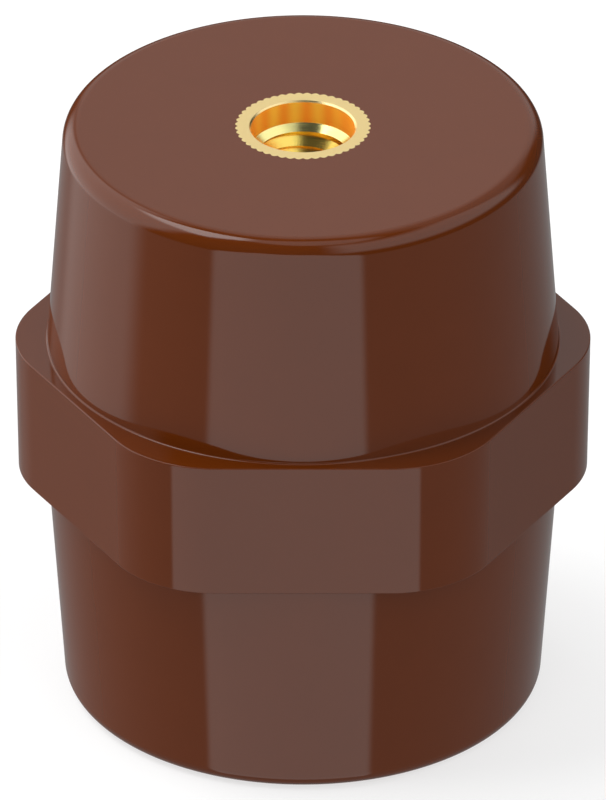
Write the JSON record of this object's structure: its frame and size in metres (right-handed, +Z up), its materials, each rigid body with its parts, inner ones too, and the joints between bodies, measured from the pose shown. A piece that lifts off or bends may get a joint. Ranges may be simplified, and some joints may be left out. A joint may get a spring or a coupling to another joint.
{
  "type": "support insulator",
  "caption": "Standoff insulator: two drafted moulded cones foot to foot with a six-sided wrench collar between them, and a knurled brass insert with a blind tapped hole in each end face.",
  "frame": {"origin": "centre of the lower end face, on the insulator's axis", "axes": "+Z up the insulator's axis, from the lower end face to the upper one; one flat of the collar faces -Y"},
  "size_m": [0.0596, 0.0548, 0.065],
  "materials": {
    "moulded_polyester": "smooth glossy red-brown glass-fibre polyester moulding",
    "insert_brass": "bright turned brass"
  },
  "bodies": {
    "root": {"insulator_body": "moulded_polyester", "lower_insert": "insert_brass", "upper_insert": "insert_brass"}
  },
  "joints": []
}
